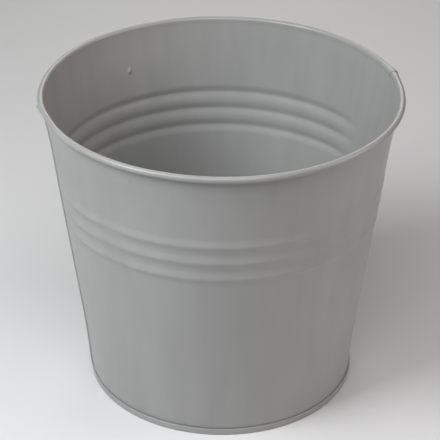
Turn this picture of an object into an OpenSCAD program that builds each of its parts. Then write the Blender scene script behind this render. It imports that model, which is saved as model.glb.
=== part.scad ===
// Round tapered flower bucket of painted sheet steel.
// Two half shells are locked together by a grooved seam on each side. Their top
// edge is rolled round a wire, and their bottom edge is double-seamed to the base.
// Origin: centre of the footprint, on the surface the bucket stands on. +Z is up.
// The side seams are on the X axis, and -Y is the front.

/* [Overall size] */
// Outside diameter over the rolled rim
rim_d = 200; // [180:1:220]
// Height from the surface it stands on to the top of the rim
pot_h = 176; // [160:1:200]
// Outside diameter of the base seam
base_d = 152.2; // [140:0.1:170]

/* [Sheet] */
// Thickness of the sheet steel
sheet_t = 0.25; // [0.2:0.01:0.35]
// Gap left between two layers of folded sheet
fold_gap = 0.02; // [0.01:0.01:0.04]

/* [Rolled rim] */
// Outside diameter of the roll round the rim
roll_d = 3.5; // [3:0.1:4.5]
// How far the sheet wraps round the wire, in degrees
roll_wrap = 310; // [270:5:315]

/* [Pressed beads] */
// Number of beads round the wall
bead_count = 3; // [1:1:4]
// Distance from one bead to the next, measured up the bucket
bead_pitch = 10.4; // [8:0.1:12]
// Height of the middle of the group of beads above the ground
bead_mid_z = 120; // [90:1:130]
// How far a bead stands out of the wall
bead_h = 0.9; // [0.4:0.1:1.1]
// Width of the flat valley between two beads
bead_valley = 2.4; // [0.4:0.1:3]
// Angle from a side seam to where the beads start, in degrees
bead_start = 8; // [4:1:20]

/* [Seams] */
// Height of the double seam round the base
base_seam_h = 3.8; // [3.4:0.1:4.5]
// Width of a side seam, measured at the rim
side_seam_w = 4; // [3.5:0.5:7]
// Room for sealing compound at the edge of each folded layer
seal_w = 0.3; // [0.2:0.05:0.4]

/* [Hidden] */

$fn = 96;
layer = sheet_t + fold_gap;        // from one folded layer to the next
arc_step = 20;                     // degrees between two points of an arc
paint = [0.56, 0.57, 0.56];
bare_steel = [0.62, 0.63, 0.64];
compound = [0.25, 0.26, 0.27];

// Rolled rim: the middle of the roll, and the neck that leads up to it.
roll_r = roll_d / 2;
roll_centre = [rim_d / 2 - roll_r, pot_h - roll_r];
roll_mid_r = roll_r - sheet_t / 2;
neck_r = roll_centre[0] - roll_mid_r;
neck_z = pot_h - roll_d;

// Base seam, from the outside in: outer layer of the pan, hook of the wall, hook of the pan, wall,
// inner layer of the pan. Each value is the radius of the middle of one layer.
pan_outer_r = base_d / 2 - sheet_t / 2;
wall_hook_r = pan_outer_r - layer;
pan_hook_r = wall_hook_r - layer;
wall_foot_r = pan_hook_r - layer;
pan_inner_r = wall_foot_r - layer;
pan_corner_r = 1.4 * sheet_t;      // bend radius at the foot of the seam
pan_z = base_seam_h - sheet_t / 2; // middle of the flat panel of the base
wall_turn_z = 1.5 * sheet_t + fold_gap;
foot_z = base_seam_h + 0.6;        // here the upright foot of the wall ends and its taper starts

// Side seams: what part of the height they take, and their layers.
seam_low_z = foot_z + 0.4;
seam_high_z = neck_z - 0.4;
bend_inset = 0.1;
cut_margin = 1;                    // how far a cut reaches past what it removes
seam_a = side_seam_w / rim_d * 180 / PI;                    // half of the seam's width, in degrees
sheet_a = sheet_t / (rim_d / 2) * 180 / PI;                 // the sheet's thickness, in degrees
gap_a = fold_gap / (rim_d / 2) * 180 / PI;
seal_a = seal_w / (rim_d / 2) * 180 / PI;
inner_edge_a = seam_a - gap_a - sheet_a / 2;                // here the shell that lies inside turns back

// Beads: the slope of the tapered wall, and the radius of the arc that makes a bead's outside.
taper = atan((neck_r - wall_foot_r) / (neck_z - foot_z));
bead_chord = bead_pitch - bead_valley;
bead_arc_r = (bead_chord * bead_chord / 4 + bead_h * bead_h) / (2 * bead_h);
level_half_t = sheet_t / 2 / cos(taper); // half of the tapered sheet's thickness, measured level

// Radius of the middle of the tapered wall at height z.
function wall_r(z) = wall_foot_r + (z - foot_z) * tan(taper);

// Points along an arc, both ends included.
function arc(centre, r, from, to) =
    let (n = max(2, ceil(abs(to - from) / arc_step)))
    [for (i = [0 : n]) let (a = from + (to - from) * i / n) centre + r * [cos(a), sin(a)]];

// Outline of a sheet of even thickness whose middle follows a path.
function turned(v) = [-v[1], v[0]] / norm(v);
function reversed(list) = [for (i = [len(list) - 1 : -1 : 0]) list[i]];
function corner_push(path, i) =
    let (before = turned(path[max(i, 1)] - path[max(i, 1) - 1]),
         last = len(path) - 1,
         after = turned(path[min(i, last - 1) + 1] - path[min(i, last - 1)]))
    (before + after) / (1 + before * after);
function offset_path(path, d) = [for (i = [0 : len(path) - 1]) path[i] + d * corner_push(path, i)];
function sheet_outline(path) =
    concat(offset_path(path, sheet_t / 2), reversed(offset_path(path, -sheet_t / 2)));

// Middle line of the hook that the wall's edge makes inside the base seam.
wall_hook_path = concat(
    [[wall_hook_r, base_seam_h - sheet_t - layer / 2 - seal_w]],
    arc([(wall_hook_r + wall_foot_r) / 2, wall_turn_z + layer], layer, 0, -180),
    [[wall_foot_r, foot_z]]);

// Middle line of the neck and of the roll round the wire.
rim_path = concat(
    [[neck_r, neck_z]],
    arc(roll_centre, roll_mid_r, 180, 180 - roll_wrap));

// Middle line of the base pan, from its centre out and round the wall's hook.
pan_path = concat(
    [[0, pan_z]],
    arc([pan_inner_r - pan_corner_r, pan_z - pan_corner_r], pan_corner_r, 90, 0),
    arc([pan_inner_r + pan_corner_r, sheet_t / 2 + pan_corner_r], pan_corner_r, -180, -90),
    arc([pan_outer_r - pan_corner_r, sheet_t / 2 + pan_corner_r], pan_corner_r, -90, 0),
    arc([(pan_outer_r + pan_hook_r) / 2, base_seam_h - sheet_t / 2 - layer], layer, 0, 180),
    [[pan_hook_r, wall_turn_z + layer + seal_w]]);

// A sheet with the given middle line, turned round Z from one angle to another.
module turned_sheet(path, from, to) {
    rotate([0, 0, from])
        rotate_extrude(angle = to - from)
            polygon(sheet_outline(path));
}

// A strip that follows the slope of the wall between two heights, turned round Z from one angle to
// another. It reaches from an inner to an outer distance from the wall's middle, measured level.
module turned_strip(inner, outer, low_z, high_z, from, to) {
    rotate([0, 0, from])
        rotate_extrude(angle = to - from)
            polygon([
                [wall_r(low_z) + inner, low_z],
                [wall_r(low_z) + outer, low_z],
                [wall_r(high_z) + outer, high_z],
                [wall_r(high_z) + inner, high_z]]);
}

// One layer of a side seam. Level 0 is the wall itself, and each level lies one layer further out.
module seam_layer(level, from, to) {
    middle = level * layer;
    turned_strip(middle - level_half_t, middle + level_half_t, seam_low_z, seam_high_z, from, to);
}

// The bend that joins the middles of two levels of a side seam along one edge. It stops just short
// of their ends.
module seam_bend(low_level, high_level, from) {
    low_z = seam_low_z + bend_inset;
    high_z = seam_high_z - bend_inset;
    turned_strip(low_level * layer, high_level * layer, low_z, high_z, from, from + sheet_a);
}

// The beads, turned round Z from one angle to another. Each is cut from a disc of radius r that lies
// in a strip along the wall, and the strip starts at the given distance from the wall's middle line.
module turned_beads(r, strip_start, from, to) {
    strip_w = bead_chord + bead_valley / 2;
    rotate([0, 0, from])
        rotate_extrude(angle = to - from)
            for (i = [0 : bead_count - 1]) {
                z = bead_mid_z + (i - (bead_count - 1) / 2) * bead_pitch * cos(taper);
                translate([wall_r(z), z])
                    rotate(-taper)
                        intersection() {
                            translate([sheet_t / 2 + bead_h - bead_arc_r, 0])
                                circle(r = r);
                            translate([strip_start, -strip_w / 2])
                                square([3, strip_w]);
                        }
            }
}

// What is cut away beside a side seam at 0 degrees: the strip of wall where the other shell's edge lies.
module seam_window() {
    turned_strip(-cut_margin, cut_margin, seam_low_z, seam_high_z, -cut_margin, seam_a + sheet_a / 2);
}

// What is cut away past a side seam at 0 degrees: the wall above and below the folded edge.
module seam_notches() {
    rotate([0, 0, -gap_a])
        rotate_extrude(angle = seam_a + cut_margin) {
            square([rim_d, seam_low_z]);
            translate([0, seam_high_z])
                square([rim_d, pot_h]);
        }
}

// The edge of a shell that lies outside at a side seam. It steps out over the other shell's edge,
// and folds in under it.
module outer_edge() {
    seam_bend(0, 3, seam_a);
    seam_layer(3, -seam_a + sheet_a / 2, seam_a + sheet_a / 2);
    seam_bend(1, 3, -seam_a);
    seam_layer(1, -seam_a + sheet_a / 2, seam_a - gap_a - sheet_a - seal_a);
}

// The edge of a shell that lies inside at a side seam, folded back over the other shell's edge.
module inner_edge() {
    seam_bend(0, 2, inner_edge_a - sheet_a / 2);
    seam_layer(2, -seam_a + sheet_a + seal_a, inner_edge_a);
}

// One half of the wall, with its side seams at 0 and 180 degrees. Both shells are pressed alike.
module half_shell() {
    difference() {
        union() {
            turned_sheet(concat(wall_hook_path, rim_path), gap_a, 180 + inner_edge_a);
            turned_beads(bead_arc_r, 0, bead_start, 180 - bead_start);
        }
        turned_beads(bead_arc_r - sheet_t, -sheet_t / 2 - cut_margin,
            bead_start + sheet_a, 180 - bead_start - sheet_a);
        seam_window();
        rotate([0, 0, 180])
            seam_notches();
    }
    outer_edge();
    rotate([0, 0, 180])
        inner_edge();
}

module back_wall() {
    color(paint)
        half_shell();
}

module front_wall() {
    color(paint)
        rotate([0, 0, 180])
            half_shell();
}

module base_pan() {
    color(paint)
        rotate_extrude()
            polygon(sheet_outline(pan_path));
}

module rim_wire() {
    color(bare_steel)
        rotate_extrude()
            translate(roll_centre)
                circle(r = roll_r - layer);
}

// A ring of sealing compound that fills the end of a fold, one sheet thick.
module seal_ring(mid_r, z) {
    rotate_extrude()
        translate([mid_r - sheet_t / 2, z])
            square([sheet_t, seal_w]);
}

module base_seal() {
    color(compound) {
        seal_ring(wall_hook_r, wall_hook_path[0][1]);
        seal_ring(pan_hook_r, wall_turn_z + layer);
    }
}

// The two strips of sealing compound in one side seam, each at the edge of a folded layer.
module seam_seals() {
    color(compound) {
        seal_strip(1, seam_a - gap_a - sheet_a - seal_a);
        seal_strip(2, -seam_a + sheet_a);
    }
}

module seal_strip(level, from) {
    seam_layer(level, from, from + seal_a);
}

module left_seam_seal() {
    rotate([0, 0, 180])
        seam_seals();
}

module right_seam_seal() {
    seam_seals();
}

front_wall();
back_wall();
base_pan();
rim_wire();
base_seal();
left_seam_seal();
right_seam_seal();
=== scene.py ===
"""Looks of the florist bucket: a tapered pot of painted sheet steel, made of two half shells that are
locked together at the sides, rolled round a wire at the rim and double-seamed to a recessed base.

Each piece of sheet is bent in mesh code from a middle line, so it has its real thickness. Lengths
are millimetres until place() turns a point into metres. Angles are degrees round +Z from +X.
"""
import math

import bpy
from mathutils import Matrix, Vector


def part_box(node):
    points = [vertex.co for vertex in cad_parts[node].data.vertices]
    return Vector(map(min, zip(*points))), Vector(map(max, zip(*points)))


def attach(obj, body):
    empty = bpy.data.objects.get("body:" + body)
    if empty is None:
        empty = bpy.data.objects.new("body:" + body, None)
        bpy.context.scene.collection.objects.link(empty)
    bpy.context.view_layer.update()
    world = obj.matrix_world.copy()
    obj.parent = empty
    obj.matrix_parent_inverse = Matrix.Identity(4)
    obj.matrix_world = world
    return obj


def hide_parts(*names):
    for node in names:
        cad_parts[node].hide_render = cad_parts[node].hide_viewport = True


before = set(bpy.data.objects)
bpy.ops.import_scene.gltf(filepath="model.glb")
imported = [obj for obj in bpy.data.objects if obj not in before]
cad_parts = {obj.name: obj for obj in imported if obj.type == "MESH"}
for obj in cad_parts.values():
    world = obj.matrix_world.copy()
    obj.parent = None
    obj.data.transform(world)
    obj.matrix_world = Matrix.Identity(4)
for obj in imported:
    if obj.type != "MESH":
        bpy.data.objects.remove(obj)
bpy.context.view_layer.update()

MM = 0.001

# Driving dimensions, from the frame.
WALL_LOW, WALL_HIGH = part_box("front_wall")
PAN_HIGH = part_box("base_pan")[1]
WIRE_LOW, WIRE_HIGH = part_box("rim_wire")
RIM_R = -WALL_LOW.y / MM
HEIGHT = WALL_HIGH.z / MM
BASE_R = PAN_HIGH.x / MM
SEAM_H = PAN_HIGH.z / MM
WIRE_R = (WIRE_HIGH.z - WIRE_LOW.z) / 2 / MM

# The sheet, and the layers that it makes where it is folded.
SHEET = 0.25
GAP = 0.02
LAYER = SHEET + GAP
SEAL_W = 0.3

# Rolled rim.
ROLL_R = WIRE_R + LAYER
ROLL_MID_R = ROLL_R - SHEET / 2
ROLL_WRAP = 310
ROLL_AT = (RIM_R - ROLL_R, HEIGHT - ROLL_R)
NECK_R = ROLL_AT[0] - ROLL_MID_R
NECK_Z = HEIGHT - 2 * ROLL_R

# Base seam, by the radius of the middle of each layer from the outside in.
PAN_OUTER_R = BASE_R - SHEET / 2
WALL_HOOK_R = PAN_OUTER_R - LAYER
PAN_HOOK_R = WALL_HOOK_R - LAYER
WALL_FOOT_R = PAN_HOOK_R - LAYER
PAN_INNER_R = WALL_FOOT_R - LAYER
PAN_CORNER_R = 1.4 * SHEET
WALL_TURN_Z = 1.5 * SHEET + GAP
FOOT_Z = SEAM_H + 0.6
TAPER = (NECK_R - WALL_FOOT_R) / (NECK_Z - FOOT_Z)

# Side seams. Their width is measured at the rim and narrows with the wall.
SEAM_HALF = 2.0
SEAM_LOW_Z = FOOT_Z + 0.4
SEAM_HIGH_Z = NECK_Z - 0.4
JOINT_GAP = 0.1
ROLL_GAP = 0.6                    # between the ends of the two rolls at the rim
CUT = 0.06                        # width of the cut above and below a side seam
STEP_X = SEAM_HALF - 0.05         # where the outer folded edge starts to step down to the wall
STEP_W = 0.35                     # width of that step
PLAIN_X = STEP_X + STEP_W         # where the plain wall starts
DEGREE = math.radians(RIM_R)      # length of one degree of the rim

# Pressed beads.
BEAD_COUNT = 3
BEAD_PITCH = 10.4
BEAD_MID_Z = 120
BEAD_H = 0.9
BEAD_W = 9.8
BEAD_SHARPNESS = 0.78             # below 1 the crest is tighter than the foot
BEAD_FADE_FROM = {"front": 18, "back": 13}    # degrees from the right seam at which the beads start
BEAD_FADE_OVER = 16               # degrees over which they reach their full height
BEAD_FADE_LEFT = (10, 18)         # degrees from the left seam at which they end and are full
BEAD_DEPTHS = [                   # where the front beads are deeper or shallower: angle, half width, more
    (-46, 8, -0.75), (-141, 4, -0.65), (-155, 8, 0.35)]

# A nib in the paint inside the back wall.
NIB_ANGLE = 113.1
NIB_Z = 150.3
NIB_W = 1.1
NIB_TALL = 1.5
NIB_H = 0.9

# How the hand-made bucket strays from its drawing.
RIGHT_SHIFT = 1.4                 # the side seams lie this many degrees towards the back
LEFT_SHIFT = 2.7
LEFT_SEAM = 180 - LEFT_SHIFT
LEAN_AZIMUTH = -13                # direction in which the base is pushed sideways
RIM_DENTS = [                     # where the rim bulges out or in: angle, half width, height
    (-173, 6, -0.35), (-168, 13, -0.6), (-145, 12, -0.3), (-121, 6, -0.25), (-81, 18, 0.35), (-43, 16, 0.2),
    (-15, 8, -0.15), (43, 12, 0.3), (74, 10, -0.4), (103, 8, -0.4), (125, 10, 0.4), (157, 12, -0.2)]
LOOSE_ROLLS = {                   # how much wider the roll ends beside a joint, and over how many degrees
    ("back", 0): (0.42, 4.8), ("front", 0): (0.26, 3.6), ("front", 180): (0.26, 2.5)}
LOOSE_LIFT = 0.35                 # how much of that widening goes upwards

# Meshes.
CREASE_ANGLE = 35                 # edges that turn more than this stay sharp
WALL_STEP = 0.8                   # degrees between the columns of the wall
PAN_STEP = 1.0
RING_STEP = 1.5
PAN_HUB_R = 5                     # radius of the flat disc in the middle of the base

# Colours.
PAINT_DARK = (0.336, 0.338, 0.329)
PAINT_LIGHT = (0.372, 0.374, 0.365)
STEEL_DARK = (0.30, 0.31, 0.32)
STEEL_LIGHT = (0.42, 0.43, 0.44)
COMPOUND_DARK = (0.035, 0.037, 0.04)
COMPOUND_LIGHT = (0.07, 0.073, 0.08)
FLOOR_DARK = (0.75, 0.75, 0.75)
FLOOR_LIGHT = (0.77, 0.77, 0.77)

# Camera, in metres and degrees.
CAMERA_AZIMUTH = -13
CAMERA_ELEVATION = 30.49
CAMERA_DISTANCE = 1.0342
CAMERA_ROLL = 0.0071              # radians
CAMERA_LENS = 149.1
CAMERA_SHIFT = (-0.0012, 0.0205)
LOOK_AT = Vector((0, 0, 0.0882))

# Studio light.
WORLD_LIGHT = 0.02
SOFTBOX_DISTANCE = 0.85
SOFTBOX_SIZE = 0.43
SOFTBOXES = [                     # name, azimuth from the camera's, elevation, watts, colour
    ("key", -58, 45, 5.95, (0.97, 1, 1.02)),
    ("top", 2, 60, 2.3, (1, 1, 1)),
    ("right", 80, 22, 2.2, (1, 0.87, 0.87)),
    ("back", 178, 30, 1.4, (1, 0.98, 0.94))]


def smooth(x, low, high):
    """0 below low, 1 above high, and an S between them."""
    t = min(max((x - low) / (high - low), 0.0), 1.0)
    return t * t * (3 - 2 * t)


def bell(x, half_width):
    """1 at 0, and a smooth fall to both sides."""
    return math.exp(-(x / half_width) ** 2)


def turn_between(a, b):
    """The angle from b to a, from -180 to 180."""
    return (a - b + 180) % 360 - 180


def wall_r(z):
    """Radius of the middle of the wall at height z, beads left out."""
    return WALL_FOOT_R + TAPER * max(z - FOOT_Z, 0)


# --- Where a point of the drawing lies on the real bucket ---------------------------------------

def rim_stray(angle):
    """How far the rim bulges out at this angle."""
    return sum(height * bell(turn_between(angle, at), width) for at, width, height in RIM_DENTS)


def wall_stray(angle, z):
    """The wall flares out above the base seam, is waisted higher up, and is flat at the left seam."""
    left = bell(turn_between(angle, -155), 50)
    flare = (0.3 + 0.25 * left) * smooth(z, SEAM_H, SEAM_H + 1.5) * (1 - smooth(z, 8, 20))
    waist = -0.45 * smooth(z, 14, 45) * (1 - smooth(z, 140, NECK_Z))
    flat = -0.6 * bell(turn_between(angle, LEFT_SEAM), 13) * smooth(z, 3, 10) * (1 - smooth(z, 150, NECK_Z))
    heel = -0.2 * bell(turn_between(angle, -165), 35) * (1 - smooth(z, 20, 60))
    return flare + waist + flat + heel


def sideways(z):
    """How far the bucket is pushed sideways at height z."""
    upper = -0.4 * smooth(z, 40, 165)
    foot = 0.7 * (1 - smooth(z, SEAM_H, 10))
    return upper + foot + 0.4 * smooth(z, 165, 173)


def wall_ripple(angle, z):
    """Slow waves left in the wall by rolling and handling."""
    free = smooth(z, 8, 40) * (1 - smooth(z, 150, HEIGHT))
    a = math.radians(angle)
    slow = math.sin(3 * a + z / 38 + 0.6) * 0.10 + math.sin(5 * a - z / 27 + 2.1) * 0.07
    return free * (slow + math.sin(9 * a + z / 21) * 0.03)


def place(angle, r, z):
    """The point at this angle, radius and height of the drawing, in metres on the real bucket."""
    to_right = math.cos(math.radians(angle))
    angle += to_right * (RIGHT_SHIFT + LEFT_SHIFT + to_right * (RIGHT_SHIFT - LEFT_SHIFT)) / 2
    r += rim_stray(angle) * smooth(z, 110, NECK_Z) + wall_ripple(angle, z) + wall_stray(angle, z)
    a = math.radians(angle)
    lean = math.radians(LEAN_AZIMUTH)
    x = r * math.cos(a) + sideways(z) * math.cos(lean)
    y = r * math.sin(a) + sideways(z) * math.sin(lean)
    return Vector((x * MM, y * MM, z * MM))


# --- Paths --------------------------------------------------------------------------------------

def arc(centre, r, start, end, step=15):
    """Points along an arc, both ends included."""
    count = max(2, math.ceil(abs(end - start) / step))
    angles = [math.radians(start + (end - start) * i / count) for i in range(count + 1)]
    return [(centre[0] + r * math.cos(a), centre[1] + r * math.sin(a)) for a in angles]


def spread(start, end, step):
    """Evenly spaced values from start up to, but without, end."""
    count = max(1, round(abs(end - start) / step))
    return [start + (end - start) * i / count for i in range(count)]


def unit_normals(path):
    """The unit normal to the left of the path at each of its points."""
    normals = []
    for i in range(len(path)):
        before = path[max(i - 1, 0)]
        after = path[min(i + 1, len(path) - 1)]
        dx, dy = after[0] - before[0], after[1] - before[1]
        size = math.hypot(dx, dy)
        normals.append((-dy / size, dx / size))
    return normals


def bead_rise(z, angle, shell):
    """How far the pressed beads push the wall out at this height and angle."""
    from_right = abs(turn_between(angle, 0))
    from_left = abs(turn_between(angle, 180))
    fade = BEAD_FADE_FROM[shell]
    strength = smooth(from_right, fade, fade + BEAD_FADE_OVER) * smooth(from_left, *BEAD_FADE_LEFT)
    if shell == "front":
        strength *= 1 + sum(more * bell(turn_between(angle, at), width) for at, width, more in BEAD_DEPTHS)
    rise = 0
    for i in range(BEAD_COUNT):
        away = z - (BEAD_MID_Z + (i - (BEAD_COUNT - 1) / 2) * BEAD_PITCH)
        if abs(away) < BEAD_W / 2:
            rise += BEAD_H * (0.5 + 0.5 * math.cos(math.pi * abs(2 * away / BEAD_W) ** BEAD_SHARPNESS))
    return rise * strength


def wall_heights():
    """Heights of the wall's rows, close together where the beads and the paint nib are."""
    bead_low = BEAD_MID_Z - BEAD_COUNT / 2 * BEAD_PITCH
    bead_high = BEAD_MID_Z + BEAD_COUNT / 2 * BEAD_PITCH
    return (spread(FOOT_Z, SEAM_LOW_Z, 0.4) + spread(SEAM_LOW_Z, 14, 0.9) + spread(14, bead_low, 4.5)
            + spread(bead_low, bead_high, 0.6) + spread(bead_high, NIB_Z - 3, 3)
            + spread(NIB_Z - 3, NIB_Z + 3, 0.3) + spread(NIB_Z + 3, SEAM_HIGH_Z, 3) + [SEAM_HIGH_Z])


def wall_rows():
    """Middle line of the wall from its hook in the base seam to the end of the roll."""
    hook = [(WALL_HOOK_R, SEAM_H - SHEET - LAYER / 2 - SEAL_W)]
    hook += [(PAN_HOOK_R + x, z) for x, z in arc((0, WALL_TURN_Z + LAYER), LAYER, 0, -180)]
    mid_foot_z = WALL_TURN_Z + 2.0
    seam_ends = [SEAM_LOW_Z - CUT, SEAM_HIGH_Z + CUT]
    heights = sorted([mid_foot_z, *wall_heights(), *seam_ends, NECK_Z])
    wall = [(wall_r(z), z) for z in heights]
    return hook + wall + arc(ROLL_AT, ROLL_MID_R, 180, 180 - ROLL_WRAP)


def part_roll(angle, z):
    """Angle from the start of a shell, kept clear of the gap between the ends of the two rolls."""
    if z <= NECK_Z:
        return angle
    keep = ROLL_GAP / 2 / DEGREE * smooth(z, NECK_Z, NECK_Z + 0.4)
    return min(max(angle, keep), 180 - keep)


def loosen_roll(shell, angle, r, z):
    """The roll opens up towards its ends, most beside the right joint."""
    if z < NECK_Z or r < NECK_R:
        return r, z
    k = sum(more * bell(turn_between(angle, joint), width)
            for (side, joint), (more, width) in LOOSE_ROLLS.items() if side == shell)
    return r + k * (r - NECK_R), z + LOOSE_LIFT * k * (z - ROLL_AT[1])


# --- Columns: how a shell runs round the bucket, with its folded edges ---------------------------

def plain_columns():
    """Angles of the plain wall's columns, close together round the paint nib."""
    end = 180 - JOINT_GAP / 2 / DEGREE
    nib_start, nib_end = NIB_ANGLE - 2, NIB_ANGLE + 2
    return (spread(PLAIN_X / DEGREE, 30, WALL_STEP) + spread(30, nib_start, WALL_STEP)
            + spread(nib_start, nib_end, WALL_STEP / 5) + spread(nib_end, end, WALL_STEP) + [end])


def outer_edge_path():
    """The folded edge that lies outside at a side seam, from its tip to where it leaves the wall."""
    bend_x = -SEAM_HALF + SHEET / 2 + LAYER
    tip_x = SEAM_HALF - GAP - SHEET - SEAL_W
    path = [(tip_x, LAYER), (tip_x / 2, LAYER)]
    path += arc((bend_x, 2 * LAYER), LAYER, -90, -270)
    path += [(0, 3 * LAYER)]
    steps = 8
    for i in range(steps):
        t = i / steps
        path.append((STEP_X + STEP_W * t, 3 * LAYER * (1 - smooth(t, 0, 1))))
    return path


def inner_edge_path():
    """The folded edge that lies inside at a side seam, from the end of the plain wall to its tip."""
    bend_x = SEAM_HALF - GAP - SHEET / 2 - LAYER
    path = [(bend_x / 2, 0)] + arc((bend_x, LAYER), LAYER, -90, 90)
    return path + [(0, 2 * LAYER), (-SEAM_HALF + SHEET + SEAL_W, 2 * LAYER)]


def folded_columns(path, at):
    """Columns along a folded edge: (outer angle, outer offset, inner angle, inner offset)."""
    half = SHEET / 2
    columns = []
    for (x, level), (nx, ny) in zip(path, unit_normals(path)):
        columns.append((at + (x + half * nx) / DEGREE, level + half * ny,
                        at + (x - half * nx) / DEGREE, level - half * ny))
    return columns


def level_columns(angles):
    """Columns of the plain sheet at these angles."""
    return [(a, SHEET / 2, a, -SHEET / 2) for a in angles]


# --- Sheet meshes -------------------------------------------------------------------------------

class Sheet:
    """A sheet of even thickness: faces on both sides, and a strip along every edge between them."""

    def __init__(self):
        self.points = []
        self.index = {}
        self.cells = []

    def pair(self, key, outer, inner):
        """Adds the two points of the sheet at one place of the grid, once."""
        if key not in self.index:
            self.index[key] = len(self.points)
            self.points += [outer, inner]

    def patch(self, rows, columns):
        """Adds a cell between each two neighbouring rows and columns of keys."""
        for a, b in zip(rows, rows[1:]):
            for c, d in zip(columns, columns[1:]):
                self.cells.append([self.index[k] for k in ((a, c), (a, d), (b, d), (b, c))])

    def faces(self):
        """Outer faces as they are, inner faces turned over, and a strip along each open edge."""
        faces = [tuple(c) for c in self.cells] + [tuple(i + 1 for i in reversed(c)) for c in self.cells]
        edges = {(c[i - 1], c[i]) for c in self.cells for i in range(len(c))}
        faces += [(b, a, a + 1, b + 1) for a, b in edges if (b, a) not in edges]
        return faces


def make_object(name, points, faces):
    """A smooth-shaded object that stays sharp at its creases."""
    mesh = bpy.data.meshes.new(name)
    mesh.from_pydata(points, [], faces)
    mesh.validate()
    mesh.shade_smooth()
    mesh.set_sharp_from_angle(angle=math.radians(CREASE_ANGLE))
    obj = bpy.data.objects.new(name, mesh)
    bpy.context.scene.collection.objects.link(obj)
    return obj


def nib_depth(angle, r, z):
    """How far the paint nib stands in from the inner face of the wall."""
    across = turn_between(angle, NIB_ANGLE) * math.radians(r)
    return NIB_H * bell(across, NIB_W) * bell(z - NIB_Z, NIB_TALL)


def wall_shell(name, shell):
    """One half of the wall with its roll, its hook and the folded edges of its side seams."""
    rows = wall_rows()
    normals = [(-nx, -ny) for nx, ny in unit_normals(rows)]
    turned = 0 if shell == "back" else 180
    seam_rows = [i for i, (_, z) in enumerate(rows) if SEAM_LOW_Z - CUT / 2 < z < SEAM_HIGH_Z + CUT / 2]
    all_rows = list(range(len(rows)))
    sheet = Sheet()

    def point(row, angle, offset):
        r, z = rows[row]
        nr, nz = normals[row]
        angle = part_roll(angle, z)
        lift = bead_rise(z, angle + turned, shell) + offset
        if shell == "back" and offset < 0:
            lift -= nib_depth(angle, r, z)
        r, z = loosen_roll(shell, angle + turned, r + lift * nr, z + lift * nz)
        return place(angle + turned, r, z)

    def add(tag, row_list, columns):
        for i in row_list:
            for j, (outer_a, outer, inner_a, inner) in enumerate(columns):
                sheet.pair((i, (tag, j)), point(i, outer_a, outer), point(i, inner_a, inner))
        return [(tag, j) for j in range(len(columns))]

    plain = plain_columns()
    main = add("wall", all_rows, level_columns(plain))
    outer = add("outer", seam_rows, folded_columns(outer_edge_path(), 0))
    inner = add("inner", seam_rows, folded_columns(inner_edge_path(), 180))
    first = JOINT_GAP / 2 / DEGREE
    flap_angles = spread(first, plain[0], 0.6)
    above = [i for i in all_rows if i > seam_rows[-1]]
    below = [i for i in all_rows if i < seam_rows[0]]
    flap_up = add("flap", above, level_columns(flap_angles))
    flap_down = add("flap", below, level_columns(flap_angles))
    sheet.patch(all_rows, main)
    sheet.patch(seam_rows, outer + main[:1])
    sheet.patch(seam_rows, main[-1:] + inner)
    sheet.patch(above, flap_up + main[:1])
    sheet.patch(below, flap_down + main[:1])
    return make_object(name, sheet.points, sheet.faces())


def turned_sheet(name, path, step):
    """A closed disc turned from its middle line, which starts near the axis."""
    normals = unit_normals(path)
    count = round(360 / step)
    half = SHEET / 2
    sheet = Sheet()
    for i, ((r, z), (nr, nz)) in enumerate(zip(path, normals)):
        for j in range(count):
            angle = 360 * j / count
            outer = place(angle, r - half * nr, z - half * nz)
            inner = place(angle, r + half * nr, z + half * nz)
            sheet.pair((i, j), outer, inner)
    sheet.patch(list(range(len(path))), [*range(count), 0])
    sheet.cells.append([sheet.index[0, j] for j in reversed(range(count))])
    return make_object(name, sheet.points, sheet.faces())


def turned_ring(name, loops, step):
    """Closed outlines turned all the way round."""
    count = round(360 / step)
    points, faces = [], []
    for loop in loops:
        n = len(loop)
        start = len(points)
        points += [place(360 * j / count, r, z) for j in range(count) for r, z in loop]
        for j in range(count):
            a, b = start + j * n, start + (j + 1) % count * n
            faces += [(a + k, b + k, b + (k + 1) % n, a + (k + 1) % n) for k in range(n)]
    return make_object(name, points, faces)


def base_pan():
    """The recessed panel of the base, and its edge folded round the wall's hook."""
    panel_z = SEAM_H - SHEET / 2
    edge = arc((PAN_INNER_R - PAN_CORNER_R, panel_z - PAN_CORNER_R), PAN_CORNER_R, 90, 0)
    edge += arc((PAN_INNER_R + PAN_CORNER_R, SHEET / 2 + PAN_CORNER_R), PAN_CORNER_R, -180, -90)
    edge += arc((PAN_OUTER_R - PAN_CORNER_R, SHEET / 2 + PAN_CORNER_R), PAN_CORNER_R, -90, 0)
    edge += arc((WALL_HOOK_R, SEAM_H - SHEET / 2 - LAYER), LAYER, 0, 180)
    edge += [(PAN_HOOK_R, WALL_TURN_Z + LAYER + SEAL_W)]
    panel = [(r, panel_z) for r in spread(PAN_HUB_R, edge[0][0], 5)]
    return turned_sheet("base_pan_sheet", panel + edge, PAN_STEP)


def rim_wire():
    """The wire inside the roll, which follows every dent of the rim."""
    section = arc(ROLL_AT, WIRE_R, 0, 360)[:-1]
    return turned_ring("rim_wire_ring", [section], RING_STEP)


def seal_section(mid_r, z):
    """Outline of a ring of compound as thick as the sheet, from height z up."""
    half = SHEET / 2
    return [(mid_r - half, z), (mid_r + half, z), (mid_r + half, z + SEAL_W), (mid_r - half, z + SEAL_W)]


def base_seal():
    """Two rings of sealing compound at the ends of the base seam's folds."""
    hook_tip_z = SEAM_H - SHEET - LAYER / 2 - SEAL_W
    sections = [seal_section(WALL_HOOK_R, hook_tip_z), seal_section(PAN_HOOK_R, WALL_TURN_Z + LAYER)]
    return turned_ring("base_seal_rings", sections, RING_STEP)


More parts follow.
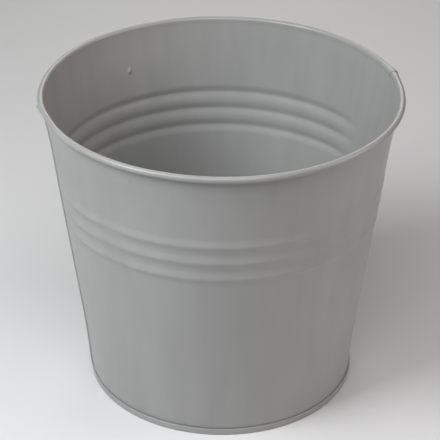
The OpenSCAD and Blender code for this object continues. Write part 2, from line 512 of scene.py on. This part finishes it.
def seam_seal(name, side):
    """Two strips of sealing compound in a side seam, each at the edge of a folded layer."""
    half = SHEET / 2
    starts = {1: SEAM_HALF - GAP - SHEET - SEAL_W, 2: -SEAM_HALF + SHEET}
    heights = spread(SEAM_LOW_Z, SEAM_HIGH_Z, 3) + [SEAM_HIGH_Z]
    points, faces = [], []
    for level, x in starts.items():
        first = len(points)
        for z in heights:
            for across, out in ((0, half), (SEAL_W, half), (SEAL_W, -half), (0, -half)):
                angle = side + (x + across) / DEGREE
                points.append(place(angle, wall_r(z) + level * LAYER + out, z))
        for i in range(len(heights) - 1):
            a = first + 4 * i
            faces += [(a + k, a + (k + 1) % 4, a + 4 + (k + 1) % 4, a + 4 + k) for k in range(4)]
        last = len(points) - 4
        faces += [(first + 3, first + 2, first + 1, first), (last, last + 1, last + 2, last + 3)]
    return make_object(name, points, faces)


# --- Materials ----------------------------------------------------------------------------------

def add_node(tree, kind, inputs=None, **settings):
    """Adds a shader node. An input takes either a value or another node's output."""
    made = tree.nodes.new(kind)
    for name, value in settings.items():
        setattr(made, name, value)
    for name, value in (inputs or {}).items():
        if isinstance(value, bpy.types.NodeSocket):
            tree.links.new(value, made.inputs[name])
        else:
            made.inputs[name].default_value = value
    return made


def new_material(name):
    """A new material, its node tree and its shader."""
    material = bpy.data.materials.new(name)
    material.use_nodes = True
    return material, material.node_tree, material.node_tree.nodes["Principled BSDF"]


def object_noise(tree, scale, detail=2.0):
    """Noise in the frame's own metres, so that it stays put on the object."""
    coords = add_node(tree, "ShaderNodeTexCoord").outputs["Object"]
    noise = add_node(tree, "ShaderNodeTexNoise", {"Vector": coords, "Scale": scale, "Detail": detail})
    return noise.outputs["Fac"]


def streak_noise(tree, scale):
    """Noise drawn out up and down, like the streaks left by wiping."""
    coords = add_node(tree, "ShaderNodeTexCoord").outputs["Object"]
    drawn = add_node(tree, "ShaderNodeMapping", {"Vector": coords, "Scale": (1, 1, 0.12)}).outputs[0]
    noise = add_node(tree, "ShaderNodeTexNoise", {"Vector": drawn, "Scale": scale, "Detail": 3.0})
    return noise.outputs["Fac"]


def remap(tree, value, low, high, to_low, to_high):
    """Takes the range low to high of a value to the range to_low to to_high."""
    return add_node(tree, "ShaderNodeMapRange", {
        "Value": value, "From Min": low, "From Max": high, "To Min": to_low, "To Max": to_high}).outputs[0]


def blend_colours(tree, factor, a, b):
    """Colour a where the factor is 0, b where it is 1."""
    mix = add_node(tree, "ShaderNodeMix", data_type="RGBA")
    tree.links.new(factor, mix.inputs["Factor"])
    mix.inputs["A"].default_value = (*a, 1)
    mix.inputs["B"].default_value = (*b, 1)
    return mix.outputs["Result"]


def paint_material():
    """Neutral grey semi-gloss paint with faint orange peel, streaks, a drift in tone and rubbed patches."""
    material, tree, shader = new_material("grey_paint")
    drift = add_node(tree, "ShaderNodeMath", operation="ADD")
    tree.links.new(object_noise(tree, 14, 3), drift.inputs[0])
    tree.links.new(streak_noise(tree, 110), drift.inputs[1])
    rubbed = object_noise(tree, 60, 5)
    peel = object_noise(tree, 350, 2)
    tone = remap(tree, drift.outputs[0], 0.7, 1.3, 0, 1)
    colour = blend_colours(tree, tone, PAINT_DARK, PAINT_LIGHT)
    tree.links.new(colour, shader.inputs["Base Color"])
    tree.links.new(remap(tree, rubbed, 0.3, 0.75, 0.29, 0.34), shader.inputs["Roughness"])
    bump = add_node(tree, "ShaderNodeBump", {"Strength": 0.1, "Distance": 0.00003, "Height": peel})
    tree.links.new(bump.outputs["Normal"], shader.inputs["Normal"])
    return material


def wire_material():
    """Bare drawn steel, with fine scratches."""
    material, tree, shader = new_material("drawn_steel")
    shader.inputs["Metallic"].default_value = 1
    scratches = object_noise(tree, 1500, 4)
    colour = blend_colours(tree, object_noise(tree, 80), STEEL_DARK, STEEL_LIGHT)
    tree.links.new(colour, shader.inputs["Base Color"])
    tree.links.new(remap(tree, scratches, 0.3, 0.7, 0.3, 0.5), shader.inputs["Roughness"])
    bump = add_node(tree, "ShaderNodeBump", {"Strength": 0.3, "Distance": 0.00005, "Height": scratches})
    tree.links.new(bump.outputs["Normal"], shader.inputs["Normal"])
    return material


def compound_material():
    """Dark matt sealing compound with an uneven skin."""
    material, tree, shader = new_material("sealing_compound")
    lumps = object_noise(tree, 600, 4)
    colour = blend_colours(tree, lumps, COMPOUND_DARK, COMPOUND_LIGHT)
    tree.links.new(colour, shader.inputs["Base Color"])
    tree.links.new(remap(tree, lumps, 0.3, 0.7, 0.7, 0.85), shader.inputs["Roughness"])
    bump = add_node(tree, "ShaderNodeBump", {"Strength": 0.5, "Distance": 0.0001, "Height": lumps})
    tree.links.new(bump.outputs["Normal"], shader.inputs["Normal"])
    return material


def floor_material():
    """Pale matt studio floor."""
    material, tree, shader = new_material("studio_floor")
    colour = blend_colours(tree, object_noise(tree, 3), FLOOR_DARK, FLOOR_LIGHT)
    tree.links.new(colour, shader.inputs["Base Color"])
    tree.links.new(remap(tree, object_noise(tree, 40), 0.3, 0.7, 0.75, 0.85), shader.inputs["Roughness"])
    shader.inputs["Specular IOR Level"].default_value = 0.1
    return material


# --- Studio -------------------------------------------------------------------------------------

def back_vector(azimuth, elevation):
    """Unit vector from what is looked at towards a camera or light in this direction."""
    a, e = math.radians(azimuth), math.radians(elevation)
    return Vector((math.sin(a) * math.cos(e), -math.cos(a) * math.cos(e), math.sin(e)))


def add_camera():
    """The camera at the bucket's front, a little to its left and above it."""
    data = bpy.data.cameras.new("camera")
    data.lens = CAMERA_LENS
    data.sensor_width = 36
    data.shift_x, data.shift_y = CAMERA_SHIFT
    data.clip_end = 50
    camera = bpy.data.objects.new("camera", data)
    bpy.context.scene.collection.objects.link(camera)
    back = back_vector(CAMERA_AZIMUTH, CAMERA_ELEVATION)
    turn = back.to_track_quat("Z", "Y").to_matrix() @ Matrix.Rotation(CAMERA_ROLL, 3, "Z")
    camera.matrix_world = Matrix.Translation(LOOK_AT + back * CAMERA_DISTANCE) @ turn.to_4x4()
    bpy.context.scene.camera = camera


def add_softbox(name, azimuth, elevation, power, colour):
    """A square softbox that faces the bucket. Its azimuth is counted from the camera's."""
    data = bpy.data.lights.new(name, "AREA")
    data.shape = "SQUARE"
    data.size = SOFTBOX_SIZE
    data.energy = power
    data.color = colour
    light = bpy.data.objects.new(name, data)
    bpy.context.scene.collection.objects.link(light)
    back = back_vector(CAMERA_AZIMUTH + azimuth, elevation)
    turn = back.to_track_quat("Z", "Y").to_matrix().to_4x4()
    light.matrix_world = Matrix.Translation(LOOK_AT + back * SOFTBOX_DISTANCE) @ turn


def add_floor():
    """A wide floor, finer near the bucket."""
    rings = [0.05, 0.3, 1, 3, 8, 20]
    count = 48
    points = [Vector((r * math.cos(2 * math.pi * j / count), r * math.sin(2 * math.pi * j / count), 0))
              for r in rings for j in range(count)]
    faces = [tuple(range(count))]
    for i in range(len(rings) - 1):
        for j in range(count):
            a, b = i * count + j, i * count + (j + 1) % count
            faces.append((a, a + count, b + count, b))
    floor = make_object("studio_floor", points, faces)
    floor.data.materials.append(floor_material())


def add_world():
    """A faint, even light from all round."""
    world = bpy.data.worlds.new("studio")
    bpy.context.scene.world = world
    world.use_nodes = True
    background = world.node_tree.nodes["Background"]
    background.inputs["Color"].default_value = (1, 1, 1, 1)
    background.inputs["Strength"].default_value = WORLD_LIGHT


def add_studio():
    add_camera()
    add_floor()
    add_world()
    for softbox in SOFTBOXES:
        add_softbox(*softbox)
    bpy.context.scene.view_settings.view_transform = "Standard"


# --- The bucket ---------------------------------------------------------------------------------

def finish_piece(piece, node, material):
    """Gives a piece its material, hangs it under the root body, and hides the frame's part for its node."""
    piece.data.materials.append(material)
    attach(piece, "root")
    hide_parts(node)


def build_bucket():
    paint, wire, compound = paint_material(), wire_material(), compound_material()
    finish_piece(wall_shell("front_wall_sheet", "front"), "front_wall", paint)
    finish_piece(wall_shell("back_wall_sheet", "back"), "back_wall", paint)
    finish_piece(base_pan(), "base_pan", paint)
    finish_piece(rim_wire(), "rim_wire", wire)
    finish_piece(base_seal(), "base_seal", compound)
    finish_piece(seam_seal("left_seam_seal_strips", 180), "left_seam_seal", compound)
    finish_piece(seam_seal("right_seam_seal_strips", 0), "right_seam_seal", compound)


build_bucket()
add_studio()
